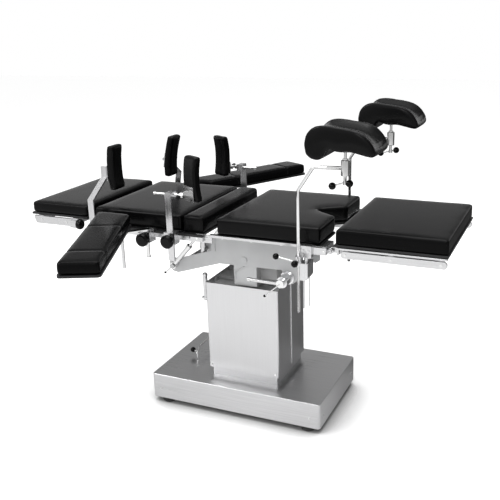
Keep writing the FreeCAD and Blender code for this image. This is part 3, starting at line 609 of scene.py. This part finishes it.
def finish_cushion(piece, node, body, finish="cloth"):
    smooth = piece.modifiers.new("even", "SMOOTH")
    smooth.factor = 0.5
    smooth.iterations = 4
    finer = piece.modifiers.new("finer", "SUBSURF")
    finer.levels = finer.render_levels = 1
    settle(piece)
    repaint(piece, FINISHES[finish])
    piece.data.shade_smooth()
    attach(piece, body)
    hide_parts(node)


ARM_ANGLE = {"near": 23.6, "far": 29.0}
ARM_SEAMS = (0.215, 0.500)


def upholster():
    for name in ("head", "back", "kidney", "seat", "leg"):
        piece = cushion(name + "_pad")
        body = {"seat": "table"}.get(name, name)
        low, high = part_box(name + "_pad")
        for x in (low.x + 0.020, high.x - 0.020):
            groove(piece, (x, 0, 0), (1, 0, 0), 0.0016, 0.0012, side_only=True)
        finish_cushion(piece, name + "_pad", body, "dull_cloth" if name == "leg" else "cloth")
    for side in SIDES:
        piece = cushion(f"arm_pad_{side}")
        low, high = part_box(f"arm_pad_{side}")
        plump(piece, low.z, high.z, ARM_RISE)
        sign = -1 if side == "near" else 1
        angle = math.radians(ARM_ANGLE[side])
        along = Vector((math.sin(angle), sign * math.cos(angle), 0))
        start = Vector((low.x, low.y if sign > 0 else high.y, 0))
        for seam in ARM_SEAMS:
            groove(piece, start + along * seam, along, 0.0035, 0.004)
        finish_cushion(piece, f"arm_pad_{side}", f"arm_board_{side}", "dull_cloth")
        for kind, body in (("shoulder", "shoulder_rest"), ("body", "body_rest")):
            piece = cushion(f"{kind}_pad_{side}", 0.0025, 0.004)
            finish_cushion(piece, f"{kind}_pad_{side}", f"{body}_{side}")
        piece = cushion(f"holder_pad_{side}", 0.003, 0.005)
        finish_cushion(piece, f"holder_pad_{side}", f"holder_saddle_{side}")


# Metal pieces over the CAD: carriers, holder bars, column lid and screws

def slab(body, x, y, z):
    """Adds a box between two x, two y and two z values in millimetres."""
    made = bmesh.ops.create_cube(body, size=1.0)["verts"]
    for vertex in made:
        for axis, (low, high) in enumerate((x, y, z)):
            vertex.co[axis] = (low if vertex.co[axis] < 0 else high) * MM


def circle(body, x, y, z, radius, count):
    loop = []
    for k in range(count):
        a = 2 * math.pi * k / count
        at = (x + radius * math.cos(a), y, z + radius * math.sin(a))
        loop.append(body.verts.new([v * MM for v in at]))
    return loop


def ring(body, x, z, y, outer, bore):
    """Adds an eye on the Y axis between two y values."""
    count = 40
    loops = [circle(body, x, at, z, radius, count)
             for at, radius in ((y[0], outer), (y[1], outer), (y[1], bore), (y[0], bore))]
    for first, second in zip(loops, loops[1:] + loops[:1]):
        for k in range(count):
            body.faces.new((first[k], first[k - 1], second[k - 1], second[k]))


def finish_metal(body, name, finish, rides, stands_for=None, edge=0.8):
    bmesh.ops.recalc_face_normals(body, faces=body.faces)
    mesh = bpy.data.meshes.new(name)
    body.to_mesh(mesh)
    body.free()
    piece = add_piece(name, mesh)
    repaint(piece, FINISHES[finish])
    if edge:
        rounding = piece.modifiers.new("broken_edges", "BEVEL")
        rounding.width = edge * MM
        rounding.segments = 2
        rounding.limit_method = "ANGLE"
        settle(piece)
        repaint(piece, FINISHES[finish])
    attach(piece, rides)
    if stands_for:
        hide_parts(stands_for)
    return piece


def mirrored(sign, low, high):
    """The span between two distances from the middle, on the given side of the table."""
    return tuple(sorted((sign * low, sign * high)))


def close_walls(body, first, second):
    """Joins two equal loops of points with two end faces and a wall."""
    body.faces.new(first)
    body.faces.new(second)
    for k in range(len(first)):
        body.faces.new((first[k], first[k - 1], second[k - 1], second[k]))


def drum(body, x, z, y, radius):
    """Adds a solid disc or pin on the Y axis between two y values."""
    ends = [circle(body, x, at, z, radius, 32) for at in y]
    close_walls(body, *ends)


def round_bar(body, x, y, z, radius):
    """Adds a flat bar on edge with rounded ends, seen from the side."""
    outline = []
    for cx, cz, start in ((x[1], z[1], 0), (x[0], z[1], 90), (x[0], z[0], 180), (x[1], z[0], 270)):
        inward_x = -radius if cx == x[1] else radius
        inward_z = -radius if cz == z[1] else radius
        for step in range(7):
            a = math.radians(start + 15 * step)
            outline.append((cx + inward_x + radius * math.cos(a),
                            cz + inward_z + radius * math.sin(a)))
    ends = [[body.verts.new((px * MM, at * MM, pz * MM)) for px, pz in outline] for at in y]
    close_walls(body, *ends)


def leg_carrier():
    """Board, edge strips, spaced rails, tubes and hinge arms of the leg section."""
    body = bmesh.new()
    slab(body, (420, 800), (-250, 250), (754.2, 762))
    for s in (-1, 1):
        slab(body, (432, 797), mirrored(s, 236, 256), (746.8, 753.2))
        round_bar(body, (446, 797), mirrored(s, 246, 256), (718, 742.5), 10)
        for x in (452, 606, 768):
            slab(body, (x, x + 18), mirrored(s, 235, 246.3), (723, 747))
        slab(body, (432, 440), mirrored(s, 238, 255), (728, 747))
        slab(body, (440, 780), mirrored(s, 205, 235), (724, 754))
        slab(body, (405, 442), mirrored(s, 212, 222), (724, 742))
        drum(body, 402, 732, mirrored(s, 212, 222), 10)
        drum(body, 402, 732, mirrored(s, 216, 240), 6)
    for x in (440, 740):
        slab(body, (x, x + 30), (-236, 236), (726, 753.8))
    finish_metal(body, "leg_carrier", "leg_frame", "leg", "leg_frame", 0.9)


HOLDER_END_Z = 518


def holder_bars():
    """The bent holder rods, ending where the photograph shows them end."""
    for side in SIDES:
        name = f"holder_rod_{side}"
        piece = copy_of(name, f"holder_bar_{side}")
        body = bmesh.new()
        body.from_mesh(piece.data)
        parts = body.verts[:] + body.edges[:] + body.faces[:]
        bmesh.ops.bisect_plane(body, geom=parts, clear_outer=True,
                               plane_co=(0, 0, HOLDER_END_Z * MM), plane_no=(0, 0, -1))
        bmesh.ops.holes_fill(body, edges=[e for e in body.edges if e.is_boundary])
        bmesh.ops.recalc_face_normals(body, faces=body.faces)
        body.to_mesh(piece.data)
        body.free()
        repaint(piece, FINISHES["chrome"])
        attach(piece, name)
        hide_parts(name)


def seat_board():
    """The seat's board, a little inside the outline of its cushion."""
    points = []
    for x, y in seat_outline():
        inward_x = -BOARD_INSET if x > 360 else BOARD_INSET
        inward_y = -math.copysign(BOARD_INSET, y) if abs(y) > 200 else 0
        points.append((x + inward_x, y + inward_y))
    body = raise_outline(points, *SEAT_BOARD_Z)
    finish_metal(body, "seat_board", "board", "table", "seat_frame", 0)


def seat_carrier():
    """Edge strips, tubes, hinge eyes and the short rails of the seat section."""
    body = bmesh.new()
    for s in (-1, 1):
        slab(body, (-50, 392), mirrored(s, 238, 257), (742.5, 751.8))
        slab(body, (-98, -49), mirrored(s, 252.6, 257), (742.6, 751.7))
        slab(body, (-20, 340), mirrored(s, 112, 150), (714, 744))
        slab(body, (-104, -35), mirrored(s, 252, 260), (722, 743))
        ring(body, -117.5, 732, mirrored(s, 252, 260), 11, 7.3)
        slab(body, (340, 388), mirrored(s, 150, 240), (720, 743.8))
        slab(body, (380, 391.5), mirrored(s, 226, 236), (721, 743))
        ring(body, 402, 732, mirrored(s, 226, 236), 11, 6.3)
        slab(body, (305, 400), mirrored(s, 262, 272), (727, 752))
        for x in (305, 380):
            slab(body, (x, x + 20), mirrored(s, 238, 262.2), (729, 743))
    for x in (-20, 240):
        slab(body, (x, x + 40), (-150, 150), (714.2, 743.8))
    finish_metal(body, "seat_carrier", "section", "table", "seat_frame", 0.9)


def column_lid():
    """Sheet that closes the skirt below its rim, clear of the tilting neck."""
    body = bmesh.new()
    slab(body, (-134.5, 163.5), (-137.5, 137.5), (494.0, 496.0))
    finish_metal(body, "column_lid", "lid", "lift", None, 0.4)


def screw_tree():
    """Geometry nodes: a socket-head screw on every seat point, turned to face outwards."""
    tree = bpy.data.node_groups.new("screw_heads", "GeometryNodeTree")
    face = tree.interface
    face.new_socket("Seats", in_out="INPUT", socket_type="NodeSocketGeometry")
    for name, size in (("Head radius", 0.005), ("Head height", 0.002), ("Socket share", 0.5)):
        face.new_socket(name, in_out="INPUT", socket_type="NodeSocketFloat").default_value = size
    face.new_socket("Finish", in_out="INPUT", socket_type="NodeSocketMaterial")
    face.new_socket("Screws", in_out="OUTPUT", socket_type="NodeSocketGeometry")
    new, join = tree.nodes.new, tree.links.new
    given, result = new("NodeGroupInput"), new("NodeGroupOutput")
    head = new("GeometryNodeMeshCylinder")
    head.inputs["Vertices"].default_value = 20
    join(given.outputs["Head radius"], head.inputs["Radius"])
    join(given.outputs["Head height"], head.inputs["Depth"])
    rim = new("GeometryNodeExtrudeMesh")
    rim.inputs["Offset Scale"].default_value = 0.0
    join(head.outputs["Mesh"], rim.inputs["Mesh"])
    join(head.outputs["Top"], rim.inputs["Selection"])
    shrink = new("GeometryNodeScaleElements")
    join(rim.outputs["Mesh"], shrink.inputs["Geometry"])
    join(rim.outputs["Top"], shrink.inputs["Selection"])
    join(given.outputs["Socket share"], shrink.inputs["Scale"])
    sink = new("GeometryNodeExtrudeMesh")
    depth = new("ShaderNodeMath")
    depth.operation = "MULTIPLY"
    depth.inputs[1].default_value = -0.6
    join(given.outputs["Head height"], depth.inputs[0])
    join(depth.outputs[0], sink.inputs["Offset Scale"])
    join(shrink.outputs["Geometry"], sink.inputs["Mesh"])
    join(rim.outputs["Top"], sink.inputs["Selection"])
    facing = new("GeometryNodeInputNamedAttribute")
    facing.data_type = "FLOAT_VECTOR"
    facing.inputs["Name"].default_value = "facing"
    turn = new("FunctionNodeAlignRotationToVector")
    join(facing.outputs["Attribute"], turn.inputs["Vector"])
    place = new("GeometryNodeInstanceOnPoints")
    join(given.outputs["Seats"], place.inputs["Points"])
    join(sink.outputs["Mesh"], place.inputs["Instance"])
    join(turn.outputs["Rotation"], place.inputs["Rotation"])
    real = new("GeometryNodeRealizeInstances")
    join(place.outputs["Instances"], real.inputs["Geometry"])
    paint = new("GeometryNodeSetMaterial")
    join(real.outputs["Geometry"], paint.inputs["Geometry"])
    join(given.outputs["Finish"], paint.inputs["Material"])
    join(paint.outputs["Geometry"], result.inputs["Screws"])
    return tree


def paired_seats(across, up, places):
    """Screw seats facing outwards on both long sides, in millimetres."""
    return [((x, side * across, up), (0, side, 0)) for x in places for side in (-1, 1)]


# Screw seats by body: places and facing, in millimetres
SCREW_SEATS = {
    "base": paired_seats(220, 62, (-320, 320))
            + [((x, y, 62), (math.copysign(1, x), 0, 0)) for x in (-360, 360) for y in (-180, 180)],
    "back": paired_seats(272, 739.5, (-430, -375, -90)),
    "table": paired_seats(272, 739.5, (312, 392)) + paired_seats(129.5, 702, (-60, 60, 180)),
    "leg": paired_seats(256, 730, (461, 615, 777)),
    "head": paired_seats(262, 745, (-800, -680)),
    "lift": paired_seats(140, 172, (-122, 151)),
}
SCREW_RADIUS = 0.0048
SCREW_HEIGHT = 0.0016
SOCKET_SHARE = 0.48


def drive_screws():
    tree = screw_tree()
    inputs = {s.name: s.identifier for s in tree.interface.items_tree if s.in_out == "INPUT"}
    for rides, seats in SCREW_SEATS.items():
        mesh = bpy.data.meshes.new(rides + "_screw_seats")
        points = [Vector(at) * MM + Vector(out) * SCREW_HEIGHT * 0.45 for at, out in seats]
        mesh.from_pydata(points, [], [])
        facing = mesh.attributes.new("facing", "FLOAT_VECTOR", "POINT")
        facing.data.foreach_set("vector", [v for at, out in seats for v in out])
        seat = add_piece(rides + "_screw_seats", mesh)
        heads = seat.modifiers.new("heads", "NODES")
        heads.node_group = tree
        for name, value in (("Head radius", SCREW_RADIUS), ("Head height", SCREW_HEIGHT),
                            ("Socket share", SOCKET_SHARE), ("Finish", FINISHES["chrome"])):
            heads[inputs[name]] = value
        graph = bpy.context.evaluated_depsgraph_get()
        made = bpy.data.meshes.new_from_object(seat.evaluated_get(graph))
        bpy.data.objects.remove(seat)
        piece = add_piece(rides + "_screws", made)
        repaint(piece, FINISHES["chrome"])
        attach(piece, rides)


# Room

def seen_by_camera(tree, hidden, shown):
    """A number that is one value in reflections and bounced light and another to the camera."""
    path = tree.nodes.new("ShaderNodeLightPath")
    pick = tree.nodes.new("ShaderNodeMix")
    pick.data_type = "FLOAT"
    for slot, value in ((2, hidden), (3, shown)):
        if isinstance(value, float):
            pick.inputs[slot].default_value = value
        else:
            tree.links.new(value, pick.inputs[slot])
    tree.links.new(path.outputs["Is Camera Ray"], pick.inputs[0])
    return pick.outputs[0]


def eased(tree, value, span, values):
    """Follows a value smoothly over a span, from the first of two values to the second."""
    step = tree.nodes.new("ShaderNodeMapRange")
    step.interpolation_type = "SMOOTHSTEP"
    tree.links.new(value, step.inputs["Value"])
    for key, number in zip(("From Min", "From Max", "To Min", "To Max"), (*span, *values)):
        step.inputs[key].default_value = number
    return step.outputs["Result"]


def front_to_back(tree, coordinate, span, values):
    """A value that runs from the near side of the room to the far side."""
    split = tree.nodes.new("ShaderNodeSeparateXYZ")
    tree.links.new(coordinate, split.inputs[0])
    return eased(tree, split.outputs["Y"], span, values)


def painted_contact_shade(tree, values):
    """Painted contact shadow: runs from the first value, right under the object where occlusion is
    deepest, to the second on the open floor.
    """
    nearby = tree.nodes.new("ShaderNodeAmbientOcclusion")
    nearby.samples = 16
    nearby.inputs["Distance"].default_value = 0.16
    return eased(tree, nearby.outputs["AO"], (0.30, 0.97), values)


def floor_material():
    material = bpy.data.materials.new("pale_studio_floor")
    material.use_nodes = True
    tree = material.node_tree
    shader = tree.nodes["Principled BSDF"]
    coords = tree.nodes.new("ShaderNodeTexCoord")
    # Painted shade: the floor seen in reflections and bounced light darkens from the near side to
    # the far side of the table
    painted_far_shade = front_to_back(tree, coords.outputs["Object"], (-0.15, 0.55), (0.88, FLOOR_BACK_SHADE))
    colour = tree.nodes.new("ShaderNodeCombineColor")
    # To the camera the floor is darkened by occlusion near the object: painted contact shadow
    tone = seen_by_camera(tree, painted_far_shade, painted_contact_shade(tree, (0.30, 0.92)))
    for channel in ("Red", "Green", "Blue"):
        tree.links.new(tone, colour.inputs[channel])
    tree.links.new(colour.outputs[0], shader.inputs["Base Color"])
    shader.inputs["Roughness"].default_value = 0.9
    shader.inputs["Specular IOR Level"].default_value = 0.0
    shader.inputs["Emission Color"].default_value = (1, 1, 1, 1)
    # The glow fades out near the object, so the painted contact shadow shows under the table
    glow = painted_contact_shade(tree, FLOOR_GLOW)
    tree.links.new(seen_by_camera(tree, 0.0, glow), shader.inputs["Emission Strength"])
    return material


def lay_floor():
    reach = 14.0
    mesh = bpy.data.meshes.new("studio_floor")
    corners = [(-reach, -reach, 0), (reach, -reach, 0), (reach, reach, 0), (-reach, reach, 0)]
    mesh.from_pydata(corners, [], [(0, 1, 2, 3)])
    mesh.materials.append(floor_material())
    add_piece("studio_floor", mesh)


def hang_lamp(name, at, aim_at, size, power):
    data = bpy.data.lights.new(name, "AREA")
    data.shape = "SQUARE"
    data.size = size
    data.energy = power
    lamp = add_piece(name, data)
    aim = (Vector(aim_at) - Vector(at)).to_track_quat("-Z", "Y")
    lamp.matrix_world = Matrix.Translation(at) @ aim.to_matrix().to_4x4()


def light_room():
    world = bpy.data.worlds.new("white_studio")
    world.use_nodes = True
    tree = world.node_tree
    back = tree.nodes["Background"]
    coords = tree.nodes.new("ShaderNodeTexCoord")
    split = tree.nodes.new("ShaderNodeSeparateXYZ")
    tree.links.new(coords.outputs["Generated"], split.inputs[0])

    ramp = tree.nodes.new("ShaderNodeValToRGB")
    while len(ramp.color_ramp.elements) < len(WORLD_FAR):
        ramp.color_ramp.elements.new(0.5)
    for element, (at, value) in zip(ramp.color_ramp.elements, WORLD_FAR):
        element.position = at
        element.color = (value, value, value, 1.0)
    tree.links.new(split.outputs["Z"], ramp.inputs["Fac"])
    behind = eased(tree, split.outputs["Y"], (-0.5, 0.5), (0.0, 1.0))
    blend = tree.nodes.new("ShaderNodeMix")
    blend.data_type = "FLOAT"
    blend.inputs[2].default_value = WORLD_NEAR
    tree.links.new(ramp.outputs["Color"], blend.inputs[3])
    tree.links.new(behind, blend.inputs[0])
    dim = tree.nodes.new("ShaderNodeMath")
    dim.operation = "MULTIPLY"
    tree.links.new(blend.outputs[0], dim.inputs[0])
    right = eased(tree, split.outputs["X"], (0.0, 0.7), (1.0, WORLD_RIGHT))
    tree.links.new(right, dim.inputs[1])
    tree.links.new(seen_by_camera(tree, dim.outputs[0], 1.0), back.inputs["Strength"])
    back.inputs["Color"].default_value = (1, 1, 1, 1)
    bpy.context.scene.world = world
    for lamp in LAMPS:
        hang_lamp(*lamp)


place_camera()
lay_floor()
light_room()
dress_nodes()
upholster()
seat_board()
seat_carrier()
leg_carrier()
holder_bars()
column_lid()
drive_screws()
